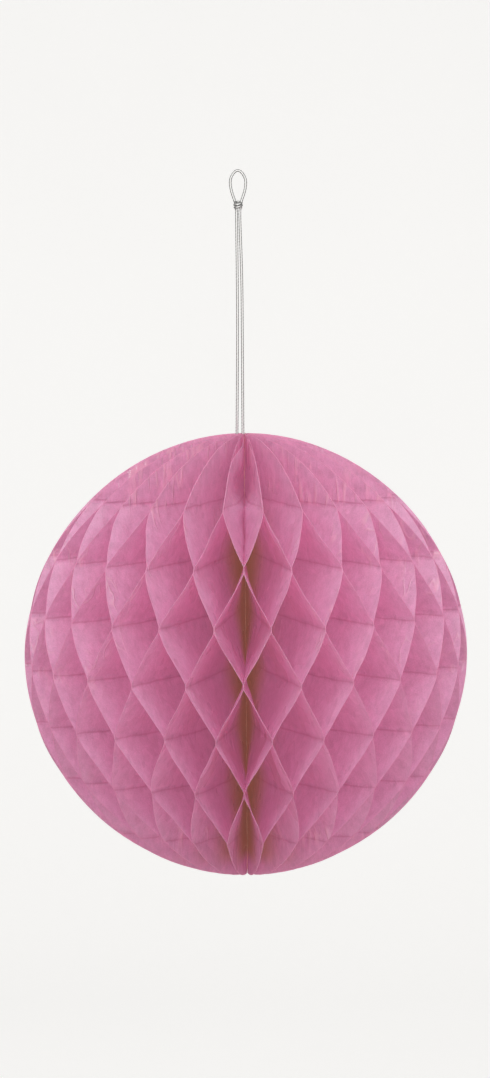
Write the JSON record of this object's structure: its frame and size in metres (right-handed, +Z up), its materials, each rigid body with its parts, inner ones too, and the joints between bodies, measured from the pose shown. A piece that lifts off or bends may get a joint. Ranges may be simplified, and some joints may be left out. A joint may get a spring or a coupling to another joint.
{
  "type": "paper honeycomb ball",
  "caption": "Hanging honeycomb ball of half-disc tissue sheets bound at a spine, with two cover cards that fold together and a cord loop.",
  "frame": {"origin": "centre of the opened ball, on the axis of its spine", "axes": "+Z up along the spine towards the hanging loop; the two cover cards meet in the half plane X = 0, Y > 0, at the back; -Y is the front"},
  "size_m": [0.203, 0.2032, 0.3236],
  "materials": {
    "tissue": "thin dyed tissue paper, pink, slightly see-through, cut edges lighter",
    "card": "thin dyed card, matt",
    "binding": "sewing thread and dried glue",
    "tape": "double-sided adhesive strip with a paper backing",
    "cord": "white twisted cotton cord"
  },
  "bodies": {
    "core": {"spine": "binding", "cover_fixed": "card", "tape_upper": "tape", "tape_lower": "tape", "hang_loop": "cord", "loop_knot": "cord"},
    "moving_cover": {"cover_moving": "card", "stitch_1": "binding", "stitch_2": "binding", "stitch_3": "binding"},
    "leaf_01": {"sheet_01": "tissue"},
    "leaf_02": {"sheet_02": "tissue"},
    "leaf_03": {"sheet_03": "tissue"},
    "leaf_04": {"sheet_04": "tissue"},
    "leaf_05": {"sheet_05": "tissue"},
    "leaf_06": {"sheet_06": "tissue"},
    "leaf_07": {"sheet_07": "tissue"},
    "leaf_08": {"sheet_08": "tissue"},
    "leaf_09": {"sheet_09": "tissue"},
    "leaf_10": {"sheet_10": "tissue"},
    "leaf_11": {"sheet_11": "tissue"},
    "leaf_12": {"sheet_12": "tissue"},
    "leaf_13": {"sheet_13": "tissue"},
    "leaf_14": {"sheet_14": "tissue"},
    "leaf_15": {"sheet_15": "tissue"},
    "leaf_16": {"sheet_16": "tissue"},
    "leaf_17": {"sheet_17": "tissue"},
    "leaf_18": {"sheet_18": "tissue"},
    "leaf_19": {"sheet_19": "tissue"},
    "leaf_20": {"sheet_20": "tissue"},
    "leaf_21": {"sheet_21": "tissue"},
    "leaf_22": {"sheet_22": "tissue"},
    "leaf_23": {"sheet_23": "tissue"},
    "leaf_24": {"sheet_24": "tissue"},
    "leaf_25": {"sheet_25": "tissue"},
    "leaf_26": {"sheet_26": "tissue"},
    "leaf_27": {"sheet_27": "tissue"},
    "leaf_28": {"sheet_28": "tissue"},
    "leaf_29": {"sheet_29": "tissue"},
    "leaf_30": {"sheet_30": "tissue"},
    "leaf_31": {"sheet_31": "tissue"},
    "leaf_32": {"sheet_32": "tissue"},
    "leaf_33": {"sheet_33": "tissue"},
    "leaf_34": {"sheet_34": "tissue"},
    "leaf_35": {"sheet_35": "tissue"},
    "leaf_36": {"sheet_36": "tissue"},
    "leaf_37": {"sheet_37": "tissue"},
    "leaf_38": {"sheet_38": "tissue"},
    "leaf_39": {"sheet_39": "tissue"},
    "leaf_40": {"sheet_40": "tissue"},
    "leaf_41": {"sheet_41": "tissue"},
    "leaf_42": {"sheet_42": "tissue"},
    "leaf_43": {"sheet_43": "tissue"},
    "leaf_44": {"sheet_44": "tissue"},
    "leaf_45": {"sheet_45": "tissue"},
    "leaf_46": {"sheet_46": "tissue"},
    "leaf_47": {"sheet_47": "tissue"},
    "leaf_48": {"sheet_48": "tissue"},
    "leaf_49": {"sheet_49": "tissue"},
    "leaf_50": {"sheet_50": "tissue"}
  },
  "joints": [
    {"name": "unfold", "type": "hinge", "parent": "core", "child": "moving_cover", "pos_m": [0, 0, 0], "axis": [0, 0, 1], "range_deg": [-350, 0]},
    {"name": "turn_01", "type": "hinge", "parent": "core", "child": "leaf_01", "pos_m": [0, 0, 0], "axis": [0, 0, 1], "range_deg": [-4, 0.5], "deforming": ["sheet_01"]},
    {"name": "turn_02", "type": "hinge", "parent": "core", "child": "leaf_02", "pos_m": [0, 0, 0], "axis": [0, 0, 1], "range_deg": [-11, 0.5], "deforming": ["sheet_02"]},
    {"name": "turn_03", "type": "hinge", "parent": "core", "child": "leaf_03", "pos_m": [0, 0, 0], "axis": [0, 0, 1], "range_deg": [-18, 0.5], "deforming": ["sheet_03"]},
    {"name": "turn_04", "type": "hinge", "parent": "core", "child": "leaf_04", "pos_m": [0, 0, 0], "axis": [0, 0, 1], "range_deg": [-25, 0.5], "deforming": ["sheet_04"]},
    {"name": "turn_05", "type": "hinge", "parent": "core", "child": "leaf_05", "pos_m": [0, 0, 0], "axis": [0, 0, 1], "range_deg": [-32, 0.5], "deforming": ["sheet_05"]},
    {"name": "turn_06", "type": "hinge", "parent": "core", "child": "leaf_06", "pos_m": [0, 0, 0], "axis": [0, 0, 1], "range_deg": [-39, 0.5], "deforming": ["sheet_06"]},
    {"name": "turn_07", "type": "hinge", "parent": "core", "child": "leaf_07", "pos_m": [0, 0, 0], "axis": [0, 0, 1], "range_deg": [-46, 0.5], "deforming": ["sheet_07"]},
    {"name": "turn_08", "type": "hinge", "parent": "core", "child": "leaf_08", "pos_m": [0, 0, 0], "axis": [0, 0, 1], "range_deg": [-53, 0.5], "deforming": ["sheet_08"]},
    {"name": "turn_09", "type": "hinge", "parent": "core", "child": "leaf_09", "pos_m": [0, 0, 0], "axis": [0, 0, 1], "range_deg": [-60, 0.5], "deforming": ["sheet_09"]},
    {"name": "turn_10", "type": "hinge", "parent": "core", "child": "leaf_10", "pos_m": [0, 0, 0], "axis": [0, 0, 1], "range_deg": [-67, 0.5], "deforming": ["sheet_10"]},
    {"name": "turn_11", "type": "hinge", "parent": "core", "child": "leaf_11", "pos_m": [0, 0, 0], "axis": [0, 0, 1], "range_deg": [-74, 0.5], "deforming": ["sheet_11"]},
    {"name": "turn_12", "type": "hinge", "parent": "core", "child": "leaf_12", "pos_m": [0, 0, 0], "axis": [0, 0, 1], "range_deg": [-81, 0.5], "deforming": ["sheet_12"]},
    {"name": "turn_13", "type": "hinge", "parent": "core", "child": "leaf_13", "pos_m": [0, 0, 0], "axis": [0, 0, 1], "range_deg": [-88, 0.5], "deforming": ["sheet_13"]},
    {"name": "turn_14", "type": "hinge", "parent": "core", "child": "leaf_14", "pos_m": [0, 0, 0], "axis": [0, 0, 1], "range_deg": [-95, 0.5], "deforming": ["sheet_14"]},
    {"name": "turn_15", "type": "hinge", "parent": "core", "child": "leaf_15", "pos_m": [0, 0, 0], "axis": [0, 0, 1], "range_deg": [-102, 0.5], "deforming": ["sheet_15"]},
    {"name": "turn_16", "type": "hinge", "parent": "core", "child": "leaf_16", "pos_m": [0, 0, 0], "axis": [0, 0, 1], "range_deg": [-109, 0.5], "deforming": ["sheet_16"]},
    {"name": "turn_17", "type": "hinge", "parent": "core", "child": "leaf_17", "pos_m": [0, 0, 0], "axis": [0, 0, 1], "range_deg": [-116, 0.5], "deforming": ["sheet_17"]},
    {"name": "turn_18", "type": "hinge", "parent": "core", "child": "leaf_18", "pos_m": [0, 0, 0], "axis": [0, 0, 1], "range_deg": [-123, 0.5], "deforming": ["sheet_18"]},
    {"name": "turn_19", "type": "hinge", "parent": "core", "child": "leaf_19", "pos_m": [0, 0, 0], "axis": [0, 0, 1], "range_deg": [-130, 0.5], "deforming": ["sheet_19"]},
    {"name": "turn_20", "type": "hinge", "parent": "core", "child": "leaf_20", "pos_m": [0, 0, 0], "axis": [0, 0, 1], "range_deg": [-137, 0.5], "deforming": ["sheet_20"]},
    {"name": "turn_21", "type": "hinge", "parent": "core", "child": "leaf_21", "pos_m": [0, 0, 0], "axis": [0, 0, 1], "range_deg": [-144, 0.5], "deforming": ["sheet_21"]},
    {"name": "turn_22", "type": "hinge", "parent": "core", "child": "leaf_22", "pos_m": [0, 0, 0], "axis": [0, 0, 1], "range_deg": [-151, 0.5], "deforming": ["sheet_22"]},
    {"name": "turn_23", "type": "hinge", "parent": "core", "child": "leaf_23", "pos_m": [0, 0, 0], "axis": [0, 0, 1], "range_deg": [-158, 0.5], "deforming": ["sheet_23"]},
    {"name": "turn_24", "type": "hinge", "parent": "core", "child": "leaf_24", "pos_m": [0, 0, 0], "axis": [0, 0, 1], "range_deg": [-165, 0.5], "deforming": ["sheet_24"]},
    {"name": "turn_25", "type": "hinge", "parent": "core", "child": "leaf_25", "pos_m": [0, 0, 0], "axis": [0, 0, 1], "range_deg": [-172, 0.5], "deforming": ["sheet_25"]},
    {"name": "turn_26", "type": "hinge", "parent": "core", "child": "leaf_26", "pos_m": [0, 0, 0], "axis": [0, 0, 1], "range_deg": [-179, 0.5], "deforming": ["sheet_26"]},
    {"name": "turn_27", "type": "hinge", "parent": "core", "child": "leaf_27", "pos_m": [0, 0, 0], "axis": [0, 0, 1], "range_deg": [-186, 0.5], "deforming": ["sheet_27"]},
    {"name": "turn_28", "type": "hinge", "parent": "core", "child": "leaf_28", "pos_m": [0, 0, 0], "axis": [0, 0, 1], "range_deg": [-193, 0.5], "deforming": ["sheet_28"]},
    {"name": "turn_29", "type": "hinge", "parent": "core", "child": "leaf_29", "pos_m": [0, 0, 0], "axis": [0, 0, 1], "range_deg": [-200, 0.5], "deforming": ["sheet_29"]},
    {"name": "turn_30", "type": "hinge", "parent": "core", "child": "leaf_30", "pos_m": [0, 0, 0], "axis": [0, 0, 1], "range_deg": [-207, 0.5], "deforming": ["sheet_30"]},
    {"name": "turn_31", "type": "hinge", "parent": "core", "child": "leaf_31", "pos_m": [0, 0, 0], "axis": [0, 0, 1], "range_deg": [-214, 0.5], "deforming": ["sheet_31"]},
    {"name": "turn_32", "type": "hinge", "parent": "core", "child": "leaf_32", "pos_m": [0, 0, 0], "axis": [0, 0, 1], "range_deg": [-221, 0.5], "deforming": ["sheet_32"]},
    {"name": "turn_33", "type": "hinge", "parent": "core", "child": "leaf_33", "pos_m": [0, 0, 0], "axis": [0, 0, 1], "range_deg": [-228, 0.5], "deforming": ["sheet_33"]},
    {"name": "turn_34", "type": "hinge", "parent": "core", "child": "leaf_34", "pos_m": [0, 0, 0], "axis": [0, 0, 1], "range_deg": [-235, 0.5], "deforming": ["sheet_34"]},
    {"name": "turn_35", "type": "hinge", "parent": "core", "child": "leaf_35", "pos_m": [0, 0, 0], "axis": [0, 0, 1], "range_deg": [-242, 0.5], "deforming": ["sheet_35"]},
    {"name": "turn_36", "type": "hinge", "parent": "core", "child": "leaf_36", "pos_m": [0, 0, 0], "axis": [0, 0, 1], "range_deg": [-249, 0.5], "deforming": ["sheet_36"]},
    {"name": "turn_37", "type": "hinge", "parent": "core", "child": "leaf_37", "pos_m": [0, 0, 0], "axis": [0, 0, 1], "range_deg": [-256, 0.5], "deforming": ["sheet_37"]},
    {"name": "turn_38", "type": "hinge", "parent": "core", "child": "leaf_38", "pos_m": [0, 0, 0], "axis": [0, 0, 1], "range_deg": [-263, 0.5], "deforming": ["sheet_38"]},
    {"name": "turn_39", "type": "hinge", "parent": "core", "child": "leaf_39", "pos_m": [0, 0, 0], "axis": [0, 0, 1], "range_deg": [-270, 0.5], "deforming": ["sheet_39"]},
    {"name": "turn_40", "type": "hinge", "parent": "core", "child": "leaf_40", "pos_m": [0, 0, 0], "axis": [0, 0, 1], "range_deg": [-277, 0.5], "deforming": ["sheet_40"]},
    {"name": "turn_41", "type": "hinge", "parent": "core", "child": "leaf_41", "pos_m": [0, 0, 0], "axis": [0, 0, 1], "range_deg": [-284, 0.5], "deforming": ["sheet_41"]},
    {"name": "turn_42", "type": "hinge", "parent": "core", "child": "leaf_42", "pos_m": [0, 0, 0], "axis": [0, 0, 1], "range_deg": [-291, 0.5], "deforming": ["sheet_42"]},
    {"name": "turn_43", "type": "hinge", "parent": "core", "child": "leaf_43", "pos_m": [0, 0, 0], "axis": [0, 0, 1], "range_deg": [-298, 0.5], "deforming": ["sheet_43"]},
    {"name": "turn_44", "type": "hinge", "parent": "core", "child": "leaf_44", "pos_m": [0, 0, 0], "axis": [0, 0, 1], "range_deg": [-305, 0.5], "deforming": ["sheet_44"]},
    {"name": "turn_45", "type": "hinge", "parent": "core", "child": "leaf_45", "pos_m": [0, 0, 0], "axis": [0, 0, 1], "range_deg": [-312, 0.5], "deforming": ["sheet_45"]},
    {"name": "turn_46", "type": "hinge", "parent": "core", "child": "leaf_46", "pos_m": [0, 0, 0], "axis": [0, 0, 1], "range_deg": [-319, 0.5], "deforming": ["sheet_46"]},
    {"name": "turn_47", "type": "hinge", "parent": "core", "child": "leaf_47", "pos_m": [0, 0, 0], "axis": [0, 0, 1], "range_deg": [-326, 0.5], "deforming": ["sheet_47"]},
    {"name": "turn_48", "type": "hinge", "parent": "core", "child": "leaf_48", "pos_m": [0, 0, 0], "axis": [0, 0, 1], "range_deg": [-333, 0.5], "deforming": ["sheet_48"]},
    {"name": "turn_49", "type": "hinge", "parent": "core", "child": "leaf_49", "pos_m": [0, 0, 0], "axis": [0, 0, 1], "range_deg": [-340, 0.5], "deforming": ["sheet_49"]},
    {"name": "turn_50", "type": "hinge", "parent": "core", "child": "leaf_50", "pos_m": [0, 0, 0], "axis": [0, 0, 1], "range_deg": [-347, 0.5], "deforming": ["sheet_50"]}
  ],
  "couplings": [
    {"joint": "turn_01", "follows": "unfold", "ratio": 0.01},
    {"joint": "turn_02", "follows": "unfold", "ratio": 0.03},
    {"joint": "turn_03", "follows": "unfold", "ratio": 0.05},
    {"joint": "turn_04", "follows": "unfold", "ratio": 0.07},
    {"joint": "turn_05", "follows": "unfold", "ratio": 0.09},
    {"joint": "turn_06", "follows": "unfold", "ratio": 0.11},
    {"joint": "turn_07", "follows": "unfold", "ratio": 0.13},
    {"joint": "turn_08", "follows": "unfold", "ratio": 0.15},
    {"joint": "turn_09", "follows": "unfold", "ratio": 0.17},
    {"joint": "turn_10", "follows": "unfold", "ratio": 0.19},
    {"joint": "turn_11", "follows": "unfold", "ratio": 0.21},
    {"joint": "turn_12", "follows": "unfold", "ratio": 0.23},
    {"joint": "turn_13", "follows": "unfold", "ratio": 0.25},
    {"joint": "turn_14", "follows": "unfold", "ratio": 0.27},
    {"joint": "turn_15", "follows": "unfold", "ratio": 0.29},
    {"joint": "turn_16", "follows": "unfold", "ratio": 0.31},
    {"joint": "turn_17", "follows": "unfold", "ratio": 0.33},
    {"joint": "turn_18", "follows": "unfold", "ratio": 0.35},
    {"joint": "turn_19", "follows": "unfold", "ratio": 0.37},
    {"joint": "turn_20", "follows": "unfold", "ratio": 0.39},
    {"joint": "turn_21", "follows": "unfold", "ratio": 0.41},
    {"joint": "turn_22", "follows": "unfold", "ratio": 0.43},
    {"joint": "turn_23", "follows": "unfold", "ratio": 0.45},
    {"joint": "turn_24", "follows": "unfold", "ratio": 0.47},
    {"joint": "turn_25", "follows": "unfold", "ratio": 0.49},
    {"joint": "turn_26", "follows": "unfold", "ratio": 0.51},
    {"joint": "turn_27", "follows": "unfold", "ratio": 0.53},
    {"joint": "turn_28", "follows": "unfold", "ratio": 0.55},
    {"joint": "turn_29", "follows": "unfold", "ratio": 0.57},
    {"joint": "turn_30", "follows": "unfold", "ratio": 0.59},
    {"joint": "turn_31", "follows": "unfold", "ratio": 0.61},
    {"joint": "turn_32", "follows": "unfold", "ratio": 0.63},
    {"joint": "turn_33", "follows": "unfold", "ratio": 0.65},
    {"joint": "turn_34", "follows": "unfold", "ratio": 0.67},
    {"joint": "turn_35", "follows": "unfold", "ratio": 0.69},
    {"joint": "turn_36", "follows": "unfold", "ratio": 0.71},
    {"joint": "turn_37", "follows": "unfold", "ratio": 0.73},
    {"joint": "turn_38", "follows": "unfold", "ratio": 0.75},
    {"joint": "turn_39", "follows": "unfold", "ratio": 0.77},
    {"joint": "turn_40", "follows": "unfold", "ratio": 0.79},
    {"joint": "turn_41", "follows": "unfold", "ratio": 0.81},
    {"joint": "turn_42", "follows": "unfold", "ratio": 0.83},
    {"joint": "turn_43", "follows": "unfold", "ratio": 0.85},
    {"joint": "turn_44", "follows": "unfold", "ratio": 0.87},
    {"joint": "turn_45", "follows": "unfold", "ratio": 0.89},
    {"joint": "turn_46", "follows": "unfold", "ratio": 0.91},
    {"joint": "turn_47", "follows": "unfold", "ratio": 0.93},
    {"joint": "turn_48", "follows": "unfold", "ratio": 0.95},
    {"joint": "turn_49", "follows": "unfold", "ratio": 0.97},
    {"joint": "turn_50", "follows": "unfold", "ratio": 0.99}
  ]
}
